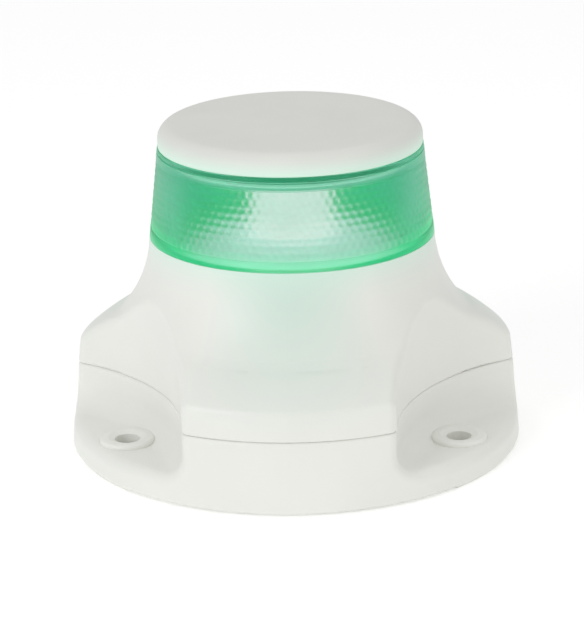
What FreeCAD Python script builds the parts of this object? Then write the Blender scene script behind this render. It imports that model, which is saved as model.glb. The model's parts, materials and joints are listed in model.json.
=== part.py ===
"""Sealed all-round navigation light with three mounting lugs.

Millimetres, +Z up.  The origin is the centre of the underside, level with the feet.  One lobe of the
casing points along -Y, the other two at 30 and 150 degrees from +X.  The lugs, each in a recess between two
lobes, lie at 90, 210 and 330 degrees.
"""
import FreeCAD, Part
import os
import re

import Sketcher
from FreeCAD import Placement, Rotation, Vector

SIZES = (
    # casing, outside
    ("base_radius", 38.4, "base, radius of the lower rim"),
    ("seam_radius", 37.6, "casing, radius at the seam between base and housing"),
    ("seam_height", 12.3, "seam, height above the feet"),
    ("foot_step", 0.3, "feet, how far they stand below the rim between them"),
    ("foot_width", 18.8, "feet, width along the rim"),
    ("rim_round", 0.4, "small rounds at the lower rim and along the seam"),
    ("shoulder_drop", 0.6, "shoulder, how far it stands inside the seam radius"),
    ("shoulder_rise", 4.8, "shoulder, height above the seam"),
    ("shoulder_curve", 37.0, "shoulder, radius of the arc that runs in to the knee"),
    ("shoulder_round", 1.6, "shoulder, round of its outer corner"),
    ("knee_radius", 29.9, "knee between shoulder and neck, radius from the axis"),
    ("knee_rise", 9.95, "knee, height above the seam"),
    ("knee_round", 5.0, "knee, blend radius"),
    ("neck_radius", 24.05, "neck, outer radius under the lens"),
    ("neck_rise", 24.0, "neck, height above the seam"),
    ("neck_curve", 22.5, "neck, radius of its hollow arc"),
    # mounting recesses and lugs
    ("recess_reach", 26.15, "recess, nearest distance of its wall from the axis"),
    ("recess_curve", 40.05, "recess, radius of its upright wall"),
    ("recess_blend", 3.8, "recess, blend between wall and lug"),
    ("lobe_round", 1.9, "lobes, round of their long edges"),
    ("lug_height", 4.7, "lug, height of its upper face"),
    ("hole_circle", 64.0, "mounting holes, diameter of their circle"),
    ("hole_radius", 2.1, "mounting hole, radius"),
    ("boss_radius", 4.7, "raised ring around a mounting hole, radius"),
    ("boss_rise", 0.8, "raised ring, height above the lug"),
    ("boss_round", 0.6, "raised ring, round of its upper edge"),
    ("sink_radius", 3.2, "shallow sink at the hole's mouth, radius"),
    ("sink_depth", 0.4, "shallow sink, depth"),
    # walls
    ("base_wall", 3.0, "base, wall thickness"),
    ("base_floor", 3.2, "base, height of the inner floor above the feet"),
    ("housing_wall", 2.4, "housing, wall thickness"),
    ("clearance", 0.1, "gap around a part that slips into another"),
    ("overrun", 1.0, "how far a cutter runs past the face it opens"),
    # seam seal
    ("seal_inset", 1.0, "seam seal, distance in from the outer surface"),
    ("seal_width", 1.0, "seam seal, width"),
    ("seal_depth", 0.9, "seam seal, depth of its groove"),
    # lens, cap and their seals
    ("lens_height", 15.4, "lens, height of the visible band"),
    ("lens_top_radius", 22.3, "lens, outer radius at its upper edge"),
    ("lens_wall", 3.0, "lens, wall thickness at its upper edge"),
    ("spigot_depth", 3.3, "lens, depth of the ring that enters the neck"),
    ("spigot_wall", 1.4, "lens and cap, wall of the entering rings"),
    ("ring_groove", 0.6, "lens and cap seals, depth of their grooves"),
    ("ring_height", 1.1, "lens and cap seals, height"),
    ("ring_lip", 0.6, "lens and cap seals, lip of the spigot below the groove"),
    ("cap_radius", 22.2, "cap, outer radius"),
    ("cap_height", 3.9, "cap, height of the visible rim"),
    ("cap_round", 2.5, "cap, round of its upper edge"),
    ("cap_wall", 2.2, "cap, thickness of its top"),
    ("cap_spigot", 2.4, "cap, depth of the ring that enters the lens"),
    # optics
    ("ledge_height", 1.4, "housing, thickness of the ledge in the neck"),
    ("ledge_width", 2.6, "housing, width of the ledge in the neck"),
    ("reflector_wall", 1.5, "reflectors, thickness"),
    ("dish_radius", 9.0, "lower reflector, radius of its raised middle"),
    ("dish_rise", 5.3, "lower reflector, rise of its middle"),
    ("diffuser_radius", 7.0, "inner diffuser, outer radius"),
    ("diffuser_wall", 0.9, "inner diffuser, wall thickness"),
    ("post_flats", 8.0, "post, distance across its flats"),
    ("post_foot", 1.0, "post, thickness of its round foot"),
    ("post_bore", 1.6, "post, radius of its screw bore"),
    ("strip_thick", 0.3, "flexible board, thickness"),
    ("tail_width", 2.6, "flexible board, width of its tail"),
    ("tail_rise", 1.0, "flexible board, height of its tail's end above the driver board"),
    ("led_width", 2.8, "light package, width"),
    ("led_length", 3.5, "light package, length"),
    ("led_thick", 0.8, "light package, thickness"),
    # driver board and what stands on it
    ("board_radius", 20.0, "driver board, radius"),
    ("board_thick", 1.6, "driver board, thickness"),
    ("board_height", 10.6, "driver board, height of its underside"),
    ("board_hole_circle", 33.0, "board screws, diameter of their circle"),
    ("board_post", 3.0, "board posts in the base, radius"),
    ("board_screw", 1.25, "board screws, shank radius"),
    ("board_screw_length", 6.0, "board screws, shank length"),
    ("board_screw_head", 2.4, "board screws, head radius"),
    ("coil_radius", 4.2, "inductor, radius of its flanges"),
    ("coil_height", 5.0, "inductor, height"),
    ("can_radius", 3.15, "capacitors, radius"),
    ("can_height", 8.0, "capacitors, height"),
    ("chip_length", 4.9, "regulator, length"),
    ("chip_width", 3.9, "regulator, width"),
    ("chip_height", 1.5, "regulator, height"),
    ("socket_width", 6.0, "tail socket, width"),
    ("socket_depth", 2.8, "tail socket, depth"),
    ("socket_height", 3.4, "tail socket, height"),
    ("header_pitch", 5.0, "input header, distance between its pins"),
    ("header_height", 5.5, "input header, height of its block"),
    ("pin_radius", 0.5, "input header, radius of its pins"),
    ("pin_length", 8.0, "input header, length of its pins"),
    ("pin_tail", 1.0, "input header, length of its pins below the board"),
    ("header_width", 9.0, "input header, width of its block"),
    ("header_depth", 3.0, "input header, depth of its block"),
    ("header_offset", 5.6, "input header, distance from the axis"),
    ("coil_waist", 2.0, "inductor, radius of its waist"),
    ("coil_flange", 1.0, "inductor, thickness of its flanges"),
    ("coil_offset_x", 10.5, "inductor, distance from the axis along x"),
    ("coil_offset_y", 3.0, "inductor, distance from the axis along y"),
    ("can_offset", 11.0, "capacitors, distance from the axis along x"),
    ("can_shift", 2.4, "capacitors, shift of their pair along y"),
    ("chip_offset", 10.9, "regulator, distance from the axis"),
    ("leg_width", 0.4, "regulator legs, width"),
    ("leg_length", 0.9, "regulator legs, length"),
    ("leg_thick", 0.3, "regulator legs, thickness"),
    ("small_length", 1.8, "small parts, length"),
    ("small_width", 1.0, "small parts, width"),
    ("small_height", 0.8, "small parts, height"),
    ("small_pitch", 3.6, "small parts, distance between their middles"),
    ("small_offset", 11.0, "small parts, distance from the axis"),
    ("socket_lip", 0.4, "tail socket, wall in front of its slot"),
    # assembly screws
    ("screw_circle", 60.0, "assembly screws, diameter of their circle"),
    ("screw_radius", 1.5, "assembly screws, shank radius"),
    ("screw_length", 15.5, "assembly screws, shank length"),
    ("screw_head", 2.8, "assembly screws, head radius"),
    ("screw_head_thick", 1.8, "assembly screws, head thickness"),
    ("screw_sink", 3.2, "assembly screws, height of their seats above the feet"),
    ("screw_post", 5.8, "assembly screws, radius of the base's posts around them"),
    ("screw_boss", 3.6, "assembly screws, radius of the housing's bosses"),
    ("pilot_end", 0.5, "assembly screws, free depth of the pilot holes past the tips"),
    ("drive_radius", 1.4, "assembly screws, radius of the drive recess"),
    ("drive_depth", 0.9, "assembly screws, depth of the drive recess"),
    # cable gland and gasket
    ("gland_bore", 4.2, "gland, radius of its bore"),
    ("gland_thread", 5.8, "gland, radius of its threaded shank"),
    ("gland_flange", 8.0, "gland, radius of its flange"),
    ("gland_flange_thick", 1.4, "gland, thickness of its flange"),
    ("gland_recess", 1.8, "gland, height of its flange's seat above the feet"),
    ("gland_length", 7.0, "gland, length of its shank"),
    ("nut_flats", 15.0, "gland nut, distance across its flats"),
    ("nut_height", 2.6, "gland nut, height"),
    ("cable_radius", 2.9, "gland seal, radius of the passage for the cable"),
    ("gasket_inner", 12.0, "mounting gasket, inner radius"),
    ("gasket_width", 5.0, "mounting gasket, width"),
    ("gasket_thick", 1.5, "mounting gasket, thickness"),
)
NAMES = {row[0] for row in SIZES}

LUG_ANGLES = (90, 210, 330)
LOBE_ANGLES = (30, 150, 270)
FACES = 6
NEAR = 0.01

# Levels and radii that several pieces share, as expressions on the sheet.
RECESS_AXIS = "(recess_reach + recess_curve)"
SHOULDER_RADIUS = "(seam_radius - shoulder_drop)"
SHOULDER_HEIGHT = "(seam_height + shoulder_rise)"
KNEE_HEIGHT = "(seam_height + knee_rise)"
NECK_HEIGHT = "(seam_height + neck_rise)"
NECK_BORE = "(neck_radius - housing_wall)"
SPIGOT_RADIUS = "(neck_radius - housing_wall - clearance)"
SPIGOT_FOOT = "(seam_height + neck_rise - spigot_depth)"
LEDGE_TOP = "(seam_height + neck_rise - spigot_depth - reflector_wall)"
LEDGE_FOOT = "(seam_height + neck_rise - spigot_depth - reflector_wall - ledge_height)"
LENS_TOP = "(seam_height + neck_rise + lens_height)"
LENS_TOP_BORE = "(lens_top_radius - lens_wall)"
CAP_SPIGOT_RADIUS = "(lens_top_radius - lens_wall - clearance)"
CAP_SPIGOT_FOOT = "(seam_height + neck_rise + lens_height - cap_spigot)"
CAP_TOP = "(seam_height + neck_rise + lens_height + cap_height)"
UPPER_REFLECTOR_FOOT = "(seam_height + neck_rise + lens_height - cap_spigot - reflector_wall)"
DISH_TOP = "(seam_height + neck_rise - spigot_depth - reflector_wall + dish_rise)"
POST_FOOT_TOP = "(seam_height + neck_rise - spigot_depth - reflector_wall + dish_rise + post_foot)"
BOARD_TOP = "(board_height + board_thick)"

document = FreeCAD.newDocument("navigation_light")
kept = []


def make_sheet():
    """Fill the spreadsheet with one named size to a row."""
    sizes = document.addObject("Spreadsheet::Sheet", "sizes")
    for row, (name, number, note) in enumerate(SIZES, start=1):
        sizes.set(f"A{row}", name)
        sizes.set(f"B{row}", str(number))
        sizes.set(f"C{row}", note)
        sizes.setAlias(f"B{row}", name)
    document.recompute()
    return sizes


sheet = make_sheet()


def on_sheet(text):
    """Turn the size names in an expression into references to the sheet."""
    def reference(word):
        return "sizes." + word.group() if word.group() in NAMES else word.group()
    return re.sub(r"[a-z_]+", reference, text)


def value(text):
    """Work out an expression on the sheet as a number."""
    return float(sheet.evalExpression(on_sheet(text)))


def bind(piece, target, text):
    """Tie a property of a piece to an expression on the sheet."""
    piece.setExpression(target, on_sheet(text))


def keep(piece, node):
    """Name a finished sub-part."""
    piece.Label = node
    kept.append(piece)
    return piece


def around(radius, angle):
    """Give the place on a circle about the axis, as two expressions."""
    return f"{radius} * cos({angle})", f"{radius} * sin({angle})"


def place(piece, x="0", y="0", z="0"):
    """Tie a piece's position to the sheet."""
    for axis, text in zip("xyz", (x, y, z)):
        bind(piece, f"Placement.Base.{axis}", text)
    return piece


def cylinder(name, radius, height, bottom="0", x="0", y="0", angle=0):
    """Add an upright cylinder, turned by an angle so that its own seam looks that way."""
    piece = document.addObject("Part::Cylinder", name)
    piece.Placement = Placement(Vector(), Rotation(Vector(0, 0, 1), angle))
    bind(piece, "Radius", radius)
    bind(piece, "Height", height)
    return place(piece, x, y, bottom)


def box(name, length, width, height, bottom, x="0", y="0", angle=0):
    """Add an upright box whose middle stands at x, y, turned by an angle about its own middle."""
    piece = document.addObject("Part::Box", name)
    bind(piece, "Length", length)
    bind(piece, "Width", width)
    bind(piece, "Height", height)
    piece.Placement = Placement(Vector(), Rotation(Vector(0, 0, 1), angle))
    corner_x = f"{x} - ({length}) / 2 * cos({angle}) + ({width}) / 2 * sin({angle})"
    corner_y = f"{y} - ({length}) / 2 * sin({angle}) - ({width}) / 2 * cos({angle})"
    return place(piece, corner_x, corner_y, bottom)


def prism(name, flats, height, bottom):
    """Add an upright hexagonal prism with its flats square to the lugs."""
    piece = document.addObject("Part::Prism", name)
    piece.Polygon = FACES
    bind(piece, "Circumradius", f"({flats}) / 2 / cos(30)")
    bind(piece, "Height", height)
    return place(piece, "0", "0", bottom)


def cut(name, base, tool):
    """Take one piece away from another, leaving split faces as they are."""
    piece = document.addObject("Part::Cut", name)
    piece.Refine = False
    piece.Base = base
    piece.Tool = tool
    return piece


def common(name, first, second):
    """Keep what two pieces share."""
    piece = document.addObject("Part::Common", name)
    piece.Base = first
    piece.Tool = second
    return piece


def fuse(name, pieces):
    """Join touching pieces to one solid."""
    piece = document.addObject("Part::MultiFuse", name)
    piece.Shapes = pieces
    return piece


def group(name, pieces):
    """Gather like pieces that stay separate solids."""
    piece = document.addObject("Part::Compound", name)
    piece.Links = pieces
    return piece


def plane_of(body, role):
    """Find one of a body's own origin planes or axes."""
    return next(feature for feature in body.Origin.OriginFeatures if feature.Role == role)


def draw(body, name, plane, corners):
    """Draw a closed outline on one of the body's planes.

    Each corner is (across, up) or (across, up, radius, side).  The edge that leaves a corner with a radius
    is an arc; side 1 bulges to the left of its direction of travel and -1 to the right.
    """
    sketch = body.newObject("Sketcher::SketchObject", name)
    sketch.AttachmentSupport = (plane_of(body, plane), [""])
    sketch.MapMode = "FlatFace"
    points = [Vector(value(corner[0]), value(corner[1]), 0) for corner in corners]
    count = len(corners)
    for index, corner in enumerate(corners):
        start = points[index]
        end = points[(index + 1) % count]
        if len(corner) == 2:
            sketch.addGeometry(Part.LineSegment(start, end), False)
            continue
        chord = end - start
        half = chord.Length / 2
        radius = value(corner[2])
        rise = radius - (radius ** 2 - half ** 2) ** 0.5
        left = Vector(-chord.y, chord.x, 0).normalize()
        sketch.addGeometry(Part.Arc(start, (start + end) / 2 + left * rise * corner[3], end), False)
    ends = []
    for index, corner in enumerate(corners):
        is_arc = len(corner) == 4
        reversed_arc = is_arc and corner[3] == 1
        ends.append((2, 1) if reversed_arc else (1, 2))
    for index, corner in enumerate(corners):
        before = (index - 1) % count
        meeting = Sketcher.Constraint("Coincident", before, ends[before][1], index, ends[index][0])
        sketch.addConstraint(meeting)
        for kind, text, axis in (("DistanceX", corner[0], -2), ("DistanceY", corner[1], -1)):
            if text == "0":
                sketch.addConstraint(Sketcher.Constraint("PointOnObject", index, ends[index][0], axis))
                continue
            size = Sketcher.Constraint(kind, -1, 1, index, ends[index][0], value(text))
            bind(sketch, f"Constraints[{sketch.addConstraint(size)}]", text)
        if len(corner) == 4:
            size = Sketcher.Constraint("Radius", index, value(corner[2]))
            bind(sketch, f"Constraints[{sketch.addConstraint(size)}]", corner[2])
    return sketch


def turn(body, name, sketch):
    """Revolve a sketch about its own upright axis."""
    feature = body.newObject("PartDesign::Revolution", name)
    feature.Profile = sketch
    feature.ReferenceAxis = (sketch, ["V_Axis"])
    feature.Angle = 360
    body.Tip = feature
    return feature


def rounded(name, piece, wanted, radius):
    """Round the edges of a piece that pass a test on the edge and its neighbouring faces."""
    document.recompute()
    size = value(radius)
    result = document.addObject("Part::Fillet", name)
    result.Base = piece
    result.Edges = [(index, size, size) for index in edges_where(piece.Shape, wanted)]
    return result


def turned(name, corners):
    """Make a body of revolution from an outline of radius and height, drawn on the side of the front lobe."""
    body = document.addObject("PartDesign::Body", name)
    sketch = draw(body, name + "_outline", "YZ_Plane", corners)
    sketch.AttachmentOffset = Placement(Vector(), Rotation(Vector(0, 1, 0), 180))
    turn(body, name + "_turned", sketch)
    return body


def edges_where(shape, wanted):
    """List the numbers of the edges whose pair of neighbouring faces is wanted."""
    numbers = []
    for number, edge in enumerate(shape.Edges, start=1):
        faces = shape.ancestorsOfType(edge, Part.Face)
        if len(faces) == 2 and wanted(edge, faces):
            numbers.append(number)
    return numbers


def lies_at(height):
    """Make the test for what lies flat at a height: an edge, or a face."""
    level = value(height)

    def test(shape, faces=None):
        return abs(shape.BoundBox.ZMin - level) < NEAR and abs(shape.BoundBox.ZMax - level) < NEAR
    return test


def is_ring(radius, height):
    """Make the test for the whole circle of a radius at a height."""
    reach = value(radius)
    level = lies_at(height)

    def test(edge, faces):
        return isinstance(edge.Curve, Part.Circle) and abs(edge.Curve.Radius - reach) < NEAR and level(edge)
    return test


def is_lobe_edge(foot):
    """Make the test for the edges where a recess meets the outside of the casing."""
    seam_level = lies_at("seam_height")
    foot_level = lies_at(foot)

    def test(edge, faces):
        if any(seam_level(face) or foot_level(face) for face in faces):
            return False
        return sum(is_recess(face) for face in faces) == 1
    return test


def is_recess(face):
    """Tell a face that belongs to a recess: its wall, its blend or the lug below."""
    surface = face.Surface
    if isinstance(surface, Part.Cylinder):
        return abs(surface.Radius - value("recess_curve")) < NEAR
    if isinstance(surface, Part.Toroid):
        far_out = surface.Center.Length > value("seam_radius")
        return far_out and abs(surface.MinorRadius - value("recess_blend")) < NEAR
    return lies_at("lug_height")(face)


def cut_recesses(name, solid, floor, blended):
    """Cut the three upright recesses over the lugs, one after the other."""
    for angle in LUG_ANGLES:
        x, y = around(RECESS_AXIS, angle)
        cutter = cylinder(f"{name}_recess_{angle}", "recess_curve", CAP_TOP, floor, x, y, angle)
        if blended:
            cutter = rounded(f"{name}_recess_blend_{angle}", cutter, lies_at(floor), "recess_blend")
        solid = cut(f"{name}_recessed_{angle}", solid, cutter)
    return solid


def recess_void(name, inset, bottom, height):
    """Three upright cylinders, the recesses grown by an inset, for walls that follow them."""
    cutters = []
    for angle in LUG_ANGLES:
        x, y = around(RECESS_AXIS, angle)
        cutters.append(cylinder(f"{name}_{angle}", f"recess_curve + {inset}", height, bottom, x, y, angle))
    return fuse(name, cutters)


def lobed_disc(name, radius, inset, bottom, height):
    """A disc with the three recesses bitten out of it, all drawn in by an inset."""
    disc = cylinder(name + "_disc", f"{radius} - {inset}", height, bottom)
    return cut(name, disc, recess_void(name + "_bites", inset, bottom, height))


def at_each(angles, circle, make):
    """Make one piece at each angle on a circle given by its diameter."""
    pieces = []
    for angle in angles:
        x, y = around(f"{circle} / 2", angle)
        pieces.append(make(angle, x, y))
    return pieces


def through_holes(name, angles, circle, radius, bottom, height):
    """Cutters for holes on a circle."""
    def one(angle, x, y):
        return cylinder(f"{name}_{angle}", radius, height, bottom, x, y)
    return fuse(name, at_each(angles, circle, one))


def make_base_outside():
    """Outside of the base: three feet, and three lugs with raised rings."""
    solid = turned("base_solid", [
        ("0", "foot_step"),
        ("base_radius - rim_round", "foot_step", "rim_round", -1),
        ("base_radius", "foot_step + rim_round"),
        ("seam_radius", "seam_height"),
        ("0", "seam_height"),
    ])
    recessed = cut_recesses("base", solid, "lug_height", True)
    lobed = rounded("base_lobes", recessed, is_lobe_edge("foot_step"), "lobe_round")
    shell = rounded("base_outside", lobed, lies_at("seam_height"), "rim_round")

    def boss(angle, x, y):
        height = "lug_height + boss_rise - foot_step"
        ring = cylinder(f"boss_{angle}", "boss_radius", height, "foot_step", x, y)
        return rounded(f"boss_round_{angle}", ring, lies_at("lug_height + boss_rise"), "boss_round")

    def foot(angle, x, y):
        disc = cylinder(f"foot_disc_{angle}", "base_radius - rim_round", "2 * foot_step", "0")
        block = box(f"foot_block_{angle}", "base_radius", "foot_width", "2 * foot_step", "0", x, y, angle)
        return common(f"foot_{angle}", disc, block)
    bosses = at_each(LUG_ANGLES, "hole_circle", boss)
    feet = at_each(LUG_ANGLES, "(2 * recess_reach + base_radius)", foot)
    return fuse("base_body", [shell] + bosses + feet)


def make_base():
    """Base: a tray with a groove for the seam seal, posts for the screws and a seat for the gland."""
    hollow = lobed_disc("base_hollow", "seam_radius", "base_wall", "base_floor", "seam_height")
    posts = at_each(LOBE_ANGLES, "screw_circle", lambda angle, x, y: cylinder(
        f"screw_post_{angle}", "screw_post", "seam_height + overrun", "0", x, y))
    posts += at_each(LOBE_ANGLES, "board_hole_circle", lambda angle, x, y: cylinder(
        f"board_post_{angle}", "board_post", "board_height", "0", x, y))
    cavity = cut("base_cavity", hollow, fuse("base_posts", posts))
    groove = seal_ring("base_groove", "seal_depth + overrun")

    def sink(angle, x, y):
        cone = document.addObject("Part::Cone", f"sink_{angle}")
        bind(cone, "Radius1", "hole_radius")
        bind(cone, "Radius2", "sink_radius")
        bind(cone, "Height", "sink_depth")
        return place(cone, x, y, "lug_height + boss_rise - sink_depth")
    tools = [
        cavity,
        groove,
        through_holes("mounting_holes", LUG_ANGLES, "hole_circle", "hole_radius", "0", "seam_height"),
        fuse("mounting_sinks", at_each(LUG_ANGLES, "hole_circle", sink)),
        through_holes("screw_seats", LOBE_ANGLES, "screw_circle", "screw_head + 3 * clearance", "0",
                      "screw_sink"),
        through_holes("screw_holes", LOBE_ANGLES, "screw_circle", "screw_radius + clearance", "0",
                      "seam_height + overrun"),
        through_holes("board_screw_holes", LOBE_ANGLES, "board_hole_circle", "board_screw + clearance / 2",
                      "board_height + board_thick - board_screw_length - clearance", "board_height"),
        cylinder("gland_seat", "gland_flange + 2 * clearance", "gland_recess"),
        cylinder("gland_hole", "gland_thread + clearance", "base_floor + overrun"),
        cut("gasket_groove",
            cylinder("gasket_groove_outer", "gasket_inner + gasket_width", "gasket_thick"),
            cylinder("gasket_groove_inner", "gasket_inner", "gasket_thick")),
    ]
    keep(cut("base_part", make_base_outside(), fuse("base_cuts", tools)), "base")


def seal_ring(name, height):
    """A ring with three lobes that follows the seam, from the foot of the seal's groove up."""
    foot = "seam_height - seal_depth"
    outer_edge = lobed_disc(name + "_outer", "seam_radius", "seal_inset", foot, height)
    inner_edge = lobed_disc(name + "_inner", "seam_radius", "(seal_inset + seal_width)", foot, height)
    return cut(name, outer_edge, inner_edge)


def make_base_seal():
    """Seam seal: it fills the groove in the base."""
    keep(seal_ring("base_seal_part", "seal_depth"), "base_seal")


def make_housing_outside():
    """Outside of the housing: shoulder, hollow neck and the three recesses."""
    solid = turned("housing_solid", [
        ("0", "seam_height"),
        ("seam_radius", "seam_height"),
        (SHOULDER_RADIUS, SHOULDER_HEIGHT, "shoulder_curve", -1),
        ("knee_radius", KNEE_HEIGHT, "neck_curve", 1),
        ("neck_radius", NECK_HEIGHT),
        ("0", NECK_HEIGHT),
    ])
    shoulder = rounded("housing_shoulder", solid, is_ring(SHOULDER_RADIUS, SHOULDER_HEIGHT), "shoulder_round")
    knee = rounded("housing_knee", shoulder, is_ring("knee_radius", KNEE_HEIGHT), "knee_round")
    recessed = cut_recesses("housing", knee, "0", False)
    lobed = rounded("housing_lobes", recessed, is_lobe_edge("seam_height"), "lobe_round")
    return rounded("housing_outside", lobed, lies_at("seam_height"), "rim_round")


def make_housing():
    """Housing: a bell-shaped shell with three screw bosses and a ledge in its neck."""
    hollow = turned("housing_hollow", [
        ("0", "seam_height - overrun"),
        ("seam_radius - housing_wall", "seam_height - overrun"),
        ("seam_radius - housing_wall", "seam_height"),
        (SHOULDER_RADIUS + " - housing_wall", SHOULDER_HEIGHT + " - housing_wall / 2",
         "shoulder_curve - housing_wall", -1),
        ("knee_radius - housing_wall / 2", KNEE_HEIGHT + " - housing_wall", "neck_curve + housing_wall", 1),
        (NECK_BORE + " + housing_wall / 2", LEDGE_FOOT),
        (NECK_BORE + " - ledge_width", LEDGE_FOOT),
        (NECK_BORE + " - ledge_width", LEDGE_TOP),
        (NECK_BORE, LEDGE_TOP),
        (NECK_BORE, NECK_HEIGHT + " + overrun"),
        ("0", NECK_HEIGHT + " + overrun"),
    ])
    bosses = at_each(LOBE_ANGLES, "screw_circle", lambda angle, x, y: cylinder(
        f"screw_boss_{angle}", "screw_boss", "knee_rise + housing_wall", "seam_height", x, y))
    walls = recess_void("housing_recess_walls", "housing_wall", "seam_height - 2 * overrun", LEDGE_FOOT)
    cavity = cut("housing_cavity", hollow, fuse("housing_inside", bosses + [walls]))
    pilots = through_holes("pilot_holes", LOBE_ANGLES, "screw_circle", "screw_radius + clearance / 2",
                           "seam_height - overrun",
                           "screw_sink + screw_length + pilot_end - seam_height + overrun")
    keep(cut("housing_part", make_housing_outside(), fuse("housing_cuts", [cavity, pilots])), "housing")


def make_lens():
    """Lens: a tapered band with a ring that enters the neck and a groove for its seal."""
    groove_foot = SPIGOT_FOOT + " + ring_lip"
    groove_radius = SPIGOT_RADIUS + " - ring_groove"
    keep(turned("lens_solid", [
        (SPIGOT_RADIUS + " - spigot_wall", SPIGOT_FOOT),
        (SPIGOT_RADIUS, SPIGOT_FOOT),
        (SPIGOT_RADIUS, groove_foot),
        (groove_radius, groove_foot),
        (groove_radius, groove_foot + " + ring_height"),
        (SPIGOT_RADIUS, groove_foot + " + ring_height"),
        (SPIGOT_RADIUS, NECK_HEIGHT),
        ("neck_radius", NECK_HEIGHT),
        ("lens_top_radius", LENS_TOP),
        (LENS_TOP_BORE, LENS_TOP),
    ]), "lens")


def make_ring(node, inner, outer, foot, height):
    """A ring of square section."""
    keep(turned(node + "_solid", [
        (inner, foot),
        (outer, foot),
        (outer, f"{foot} + {height}"),
        (inner, f"{foot} + {height}"),
    ]), node)


def make_cap():
    """Cap: a flat disc with a rounded rim and a ring that enters the lens."""
    groove_foot = CAP_SPIGOT_FOOT + " + ring_lip"
    groove_radius = CAP_SPIGOT_RADIUS + " - ring_groove"
    keep(turned("cap_solid", [
        ("0", CAP_TOP + " - cap_wall"),
        (CAP_SPIGOT_RADIUS + " - spigot_wall", CAP_TOP + " - cap_wall"),
        (CAP_SPIGOT_RADIUS + " - spigot_wall", CAP_SPIGOT_FOOT),
        (CAP_SPIGOT_RADIUS, CAP_SPIGOT_FOOT),
        (CAP_SPIGOT_RADIUS, groove_foot),
        (groove_radius, groove_foot),
        (groove_radius, groove_foot + " + ring_height"),
        (CAP_SPIGOT_RADIUS, groove_foot + " + ring_height"),
        (CAP_SPIGOT_RADIUS, LENS_TOP),
        ("cap_radius", LENS_TOP),
        ("cap_radius", CAP_TOP + " - cap_round", "cap_round", -1),
        ("cap_radius - cap_round", CAP_TOP),
        ("0", CAP_TOP),
    ]), "top_cap")


def make_reflectors():
    """Lower dish on the neck's ledge, and upper disc with a sloping rim under the cap."""
    dish = turned("lower_reflector_dish", [
        ("post_bore", DISH_TOP + " - reflector_wall"),
        ("dish_radius - reflector_wall", DISH_TOP + " - reflector_wall"),
        (NECK_BORE + " - ledge_width", LEDGE_TOP),
        (NECK_BORE + " - clearance", LEDGE_TOP),
        (NECK_BORE + " - clearance", SPIGOT_FOOT),
        (SPIGOT_RADIUS + " - spigot_wall - clearance", SPIGOT_FOOT),
        ("dish_radius", DISH_TOP),
        ("post_bore", DISH_TOP),
    ])
    slot = tail_box("dish_slot", "3 * clearance", LEDGE_FOOT, "dish_rise + ledge_height + overrun")
    keep(cut("lower_reflector_part", dish, slot), "lower_reflector")
    keep(turned("upper_reflector_solid", [
        ("0", UPPER_REFLECTOR_FOOT),
        ("diffuser_radius", UPPER_REFLECTOR_FOOT),
        (CAP_SPIGOT_RADIUS, CAP_SPIGOT_FOOT + " - reflector_wall / 3"),
        (CAP_SPIGOT_RADIUS, CAP_SPIGOT_FOOT),
        ("0", CAP_SPIGOT_FOOT),
    ]), "upper_reflector")


def tail_box(name, gap, bottom, height):
    """The space of the flexible board's tail, grown by a gap."""
    middle = "(post_flats / 2 + strip_thick / 2)"
    return box(name, f"tail_width + 2 * {gap}", f"strip_thick + 2 * {gap}", height, bottom, "0", middle)


def make_light_source():
    """Post, flexible board, light packages, frosted tube and the post's screw."""
    foot = cylinder("post_foot_disc", "diffuser_radius - diffuser_wall - clearance", "post_foot", DISH_TOP)
    post_height = f"{UPPER_REFLECTOR_FOOT} - {POST_FOOT_TOP}"
    post = fuse("post_outside", [foot, prism("post_prism", "post_flats", post_height, POST_FOOT_TOP)])
    below = DISH_TOP + " - overrun"
    bore = cylinder("post_screw_bore", "post_bore", "board_screw_length + pilot_end + overrun", below)
    slot = tail_box("post_slot", "2 * clearance", below, "post_foot + overrun + clearance")
    keep(cut("post_part", post, fuse("post_cuts", [bore, slot])), "led_post")

    sleeve_foot = POST_FOOT_TOP + " + clearance"
    sleeve_height = f"{post_height} - 2 * clearance"
    sleeve = cut("strip_sleeve",
                 prism("strip_outer", "post_flats + 2 * strip_thick", sleeve_height, sleeve_foot),
                 prism("strip_inner", "post_flats", sleeve_height, sleeve_foot))
    tail = tail_box("strip_tail", "0", BOARD_TOP + " + tail_rise",
                    f"{sleeve_foot} - {BOARD_TOP} - tail_rise + overrun")
    keep(fuse("strip_part", [sleeve, tail]), "led_strip")

    def package(angle, x, y):
        middle = f"{NECK_HEIGHT} + lens_height / 2 - led_length / 2"
        return box(f"led_{angle}", "led_thick", "led_width", "led_length", middle, x, y, angle)
    led_circle = "(post_flats + 2 * strip_thick + led_thick)"
    angles = range(LOBE_ANGLES[0], 360, 360 // FACES)
    keep(group("leds_group", at_each(angles, led_circle, package)), "leds")

    make_ring("inner_diffuser", "diffuser_radius - diffuser_wall", "diffuser_radius", DISH_TOP,
              f"({UPPER_REFLECTOR_FOOT} - {DISH_TOP})")
    seat = DISH_TOP + " - reflector_wall"
    head = cylinder("post_screw_head", "screw_head", "screw_head_thick", seat + " - screw_head_thick")
    shank = cylinder("post_screw_shank", "screw_radius", "board_screw_length + reflector_wall", seat)
    keep(fuse("post_screw_part", [head, shank]), "post_screw")


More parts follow.
